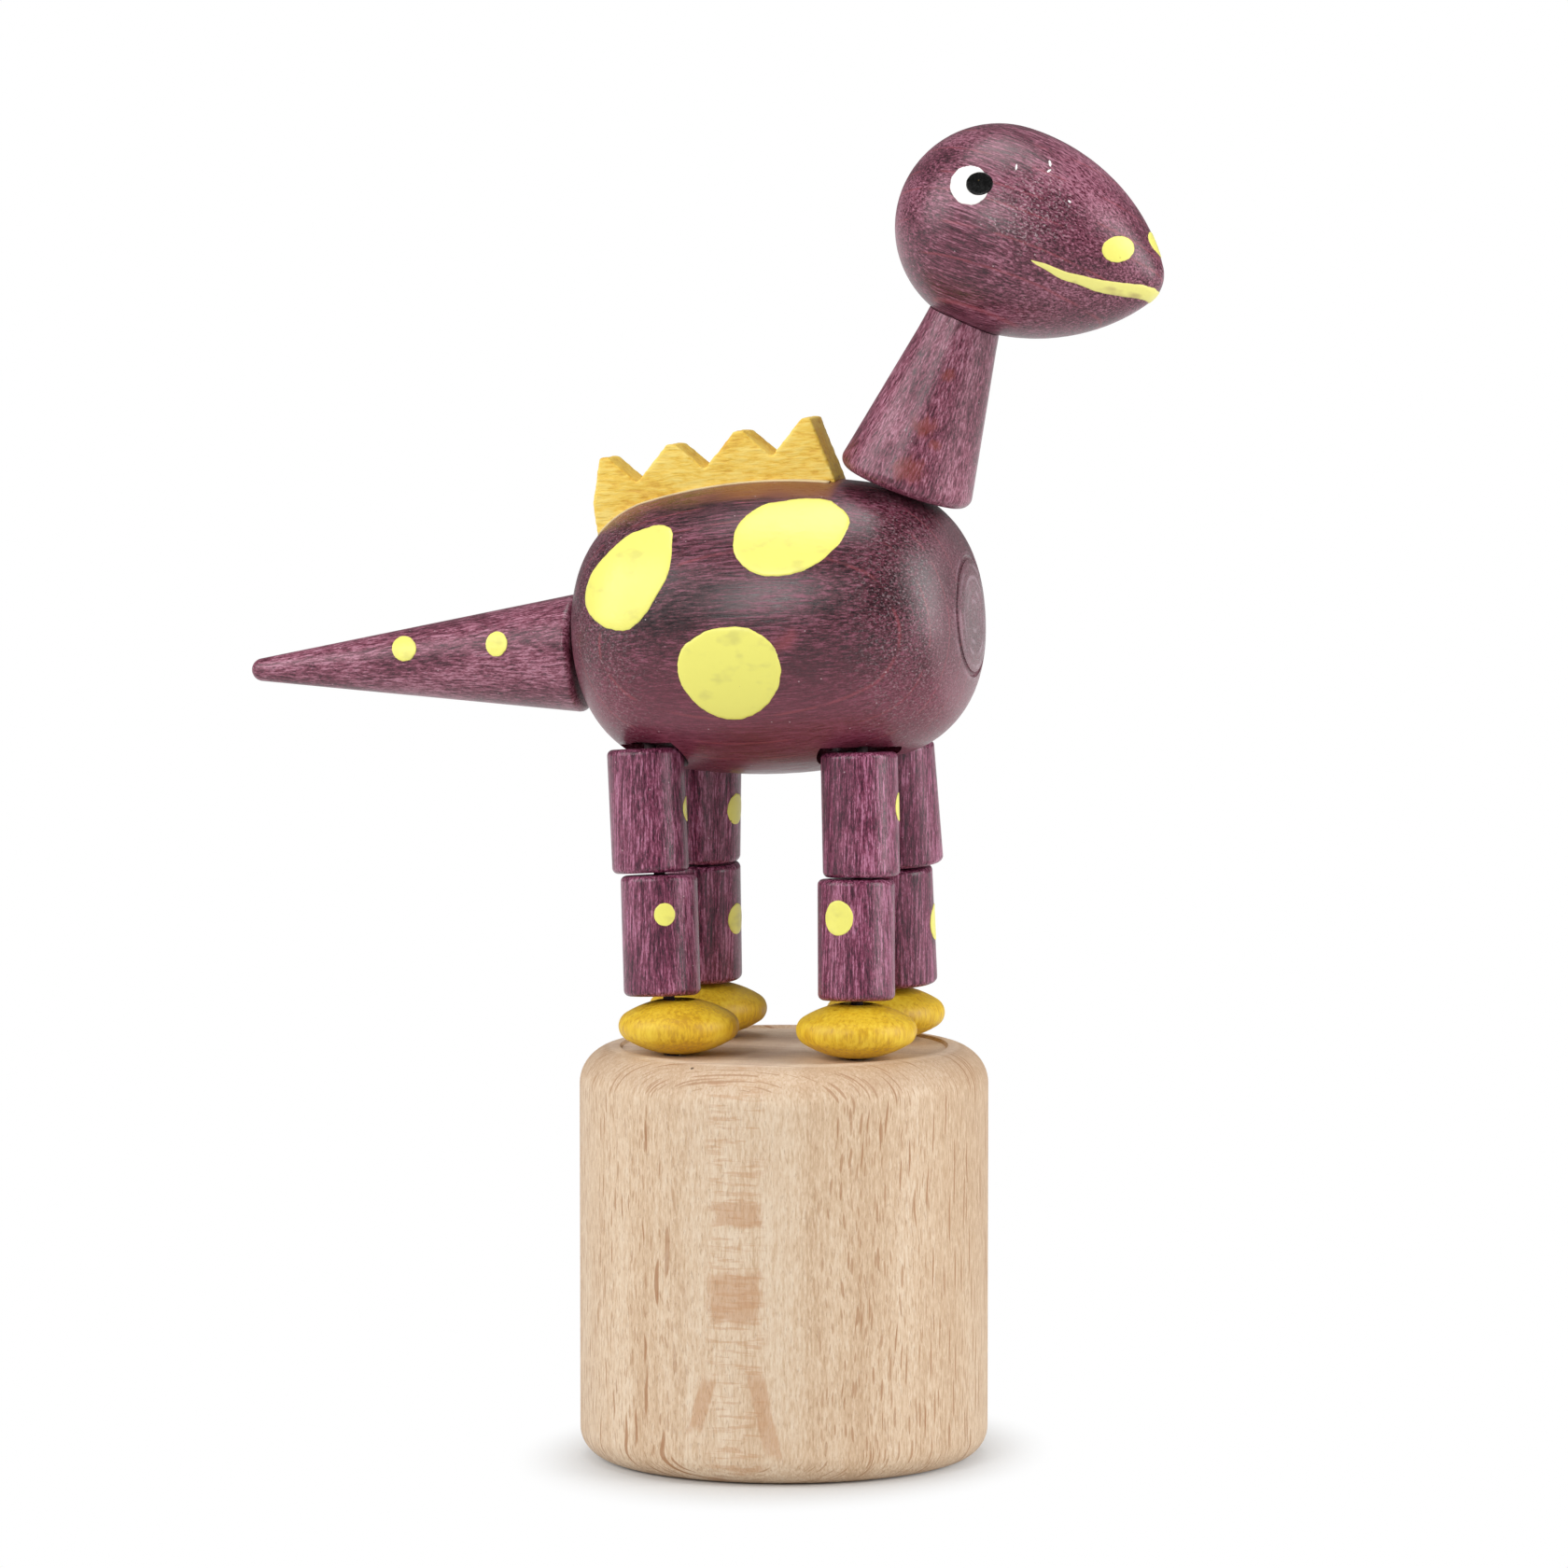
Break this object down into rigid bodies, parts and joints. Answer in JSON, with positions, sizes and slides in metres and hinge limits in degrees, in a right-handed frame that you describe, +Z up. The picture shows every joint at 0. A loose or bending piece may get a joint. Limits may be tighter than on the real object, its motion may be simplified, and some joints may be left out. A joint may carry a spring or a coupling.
{
  "type": "push puppet",
  "caption": "Wooden push puppet: a long-necked dinosaur of strung turned beads on a round base; pressing the sprung button under the base slackens its cords and it leans over and bows.",
  "frame": {"origin": "centre of the underside of the base, on the surface that it stands on", "axes": "+Z up, +X the way the animal faces, +Y to the animal's left"},
  "size_m": [0.0695, 0.03, 0.0977],
  "materials": {
    "beech": "sanded, bare",
    "purple_stain": "stained, satin",
    "leg_stain": "stained, satin",
    "yellow_paint": "stained yellow, satin",
    "cord": "braided thread",
    "spring_steel": "bright drawn wire"
  },
  "bodies": {
    "base": {"base": "beech", "return_spring": "spring_steel"},
    "push_button": {"push_button": "beech", "front_right_cord": "cord", "front_left_cord": "cord", "rear_right_cord": "cord", "rear_left_cord": "cord"},
    "front_right_foot": {"front_right_foot": "yellow_paint"},
    "front_left_foot": {"front_left_foot": "yellow_paint"},
    "rear_right_foot": {"rear_right_foot": "yellow_paint"},
    "rear_left_foot": {"rear_left_foot": "yellow_paint"},
    "front_right_lower_leg": {"front_right_lower_leg": "leg_stain"},
    "front_left_lower_leg": {"front_left_lower_leg": "leg_stain"},
    "rear_right_lower_leg": {"rear_right_lower_leg": "leg_stain"},
    "rear_left_lower_leg": {"rear_left_lower_leg": "leg_stain"},
    "front_right_upper_leg": {"front_right_upper_leg": "leg_stain"},
    "front_left_upper_leg": {"front_left_upper_leg": "leg_stain"},
    "rear_right_upper_leg": {"rear_right_upper_leg": "leg_stain"},
    "rear_left_upper_leg": {"rear_left_upper_leg": "leg_stain"},
    "body": {"body": "purple_stain", "back_crest": "yellow_paint"},
    "neck": {"neck": "purple_stain"},
    "head": {"head": "purple_stain", "head_peg": "beech"},
    "tail": {"tail": "purple_stain", "tail_peg": "beech"}
  },
  "joints": [
    {"name": "front_right_foot_rock", "type": "hinge", "parent": "base", "child": "front_right_foot", "pos_m": [0.0066, -0.0059, 0.03746], "axis": [0, 1, 0], "range_deg": [0, 7]},
    {"name": "front_left_foot_rock", "type": "hinge", "parent": "base", "child": "front_left_foot", "pos_m": [0.00643, 0.0059, 0.03746], "axis": [0, 1, 0], "range_deg": [0, 7]},
    {"name": "rear_right_foot_rock", "type": "hinge", "parent": "base", "child": "rear_right_foot", "pos_m": [-0.00661, -0.0059, 0.03746], "axis": [0, 1, 0], "range_deg": [0, 7]},
    {"name": "rear_left_foot_rock", "type": "hinge", "parent": "base", "child": "rear_left_foot", "pos_m": [-0.007, 0.0059, 0.03746], "axis": [0, 1, 0], "range_deg": [0, 7]},
    {"name": "front_right_ankle", "type": "hinge", "parent": "base", "child": "front_right_lower_leg", "pos_m": [0.00927, -0.0059, 0.03437], "axis": [0, 1, 0], "range_deg": [0, 52]},
    {"name": "front_left_ankle", "type": "hinge", "parent": "base", "child": "front_left_lower_leg", "pos_m": [0.01028, 0.0059, 0.03437], "axis": [0, 1, 0], "range_deg": [0, 52]},
    {"name": "rear_right_ankle", "type": "hinge", "parent": "base", "child": "rear_right_lower_leg", "pos_m": [-0.0059, -0.0059, 0.03437], "axis": [0, 1, 0], "range_deg": [0, 52], "stiffness_Nm_per_rad": 0.002, "springref_deg": -57.3},
    {"name": "rear_left_ankle", "type": "hinge", "parent": "base", "child": "rear_left_lower_leg", "pos_m": [-0.00447, 0.0059, 0.03437], "axis": [0, 1, 0], "range_deg": [0, 52]},
    {"name": "front_right_knee", "type": "hinge", "parent": "front_right_lower_leg", "child": "front_right_upper_leg", "pos_m": [0.00417, -0.0059, 0.04323], "axis": [0, 1, 0], "range_deg": [-6, 0]},
    {"name": "front_left_knee", "type": "hinge", "parent": "front_left_lower_leg", "child": "front_left_upper_leg", "pos_m": [0.00518, 0.0059, 0.04323], "axis": [0, 1, 0], "range_deg": [-6, 0]},
    {"name": "rear_right_knee", "type": "hinge", "parent": "rear_right_lower_leg", "child": "rear_right_upper_leg", "pos_m": [-0.011, -0.0059, 0.04323], "axis": [0, 1, 0], "range_deg": [-6, 0]},
    {"name": "rear_left_knee", "type": "hinge", "parent": "rear_left_lower_leg", "child": "rear_left_upper_leg", "pos_m": [-0.00957, 0.0059, 0.04323], "axis": [0, 1, 0], "range_deg": [-6, 0]},
    {"name": "rear_right_hip", "type": "hinge", "parent": "rear_right_upper_leg", "child": "body", "pos_m": [-0.0116, -0.0059, 0.05079], "axis": [0, 1, 0], "range_deg": [-46, 0]},
    {"name": "neck_bow", "type": "hinge", "parent": "body", "child": "neck", "pos_m": [0.01292, -0.0007, 0.06989], "axis": [0.0523, 0.9986, 0], "range_deg": [0, 42]},
    {"name": "head_nod", "type": "hinge", "parent": "neck", "child": "head", "pos_m": [0.01582, -0.00085, 0.08253], "axis": [0.0523, 0.9986, 0], "range_deg": [0, 18]},
    {"name": "tail_droop", "type": "hinge", "parent": "body", "child": "tail", "pos_m": [-0.01489, 0.00076, 0.05496], "axis": [-0.0523, -0.9986, 0], "range_deg": [0, 28]},
    {"name": "button_press", "type": "slide", "parent": "base", "child": "push_button", "axis": [0, 0, 1], "range_m": [0, 0.0055], "deforming": ["return_spring", "front_right_cord", "front_left_cord", "rear_right_cord", "rear_left_cord"]}
  ],
  "couplings": [
    {"joint": "front_right_foot_rock", "follows": "rear_right_ankle", "ratio": 0.13462},
    {"joint": "front_left_foot_rock", "follows": "rear_right_ankle", "ratio": 0.13462},
    {"joint": "rear_right_foot_rock", "follows": "rear_right_ankle", "ratio": 0.13462},
    {"joint": "rear_left_foot_rock", "follows": "rear_right_ankle", "ratio": 0.13462},
    {"joint": "front_right_ankle", "follows": "rear_right_ankle", "ratio": 1},
    {"joint": "front_left_ankle", "follows": "rear_right_ankle", "ratio": 1},
    {"joint": "rear_left_ankle", "follows": "rear_right_ankle", "ratio": 1},
    {"joint": "front_right_knee", "follows": "rear_right_ankle", "ratio": -0.11539},
    {"joint": "front_left_knee", "follows": "rear_right_ankle", "ratio": -0.11539},
    {"joint": "rear_right_knee", "follows": "rear_right_ankle", "ratio": -0.11539},
    {"joint": "rear_left_knee", "follows": "rear_right_ankle", "ratio": -0.11539},
    {"joint": "rear_right_hip", "follows": "rear_right_ankle", "ratio": -0.88462},
    {"joint": "neck_bow", "follows": "rear_right_ankle", "ratio": 0.80769},
    {"joint": "head_nod", "follows": "rear_right_ankle", "ratio": 0.34615},
    {"joint": "tail_droop", "follows": "rear_right_ankle", "ratio": 0.53846},
    {"joint": "button_press", "follows": "rear_right_ankle", "m_per_rad": 0.0060601}
  ]
}
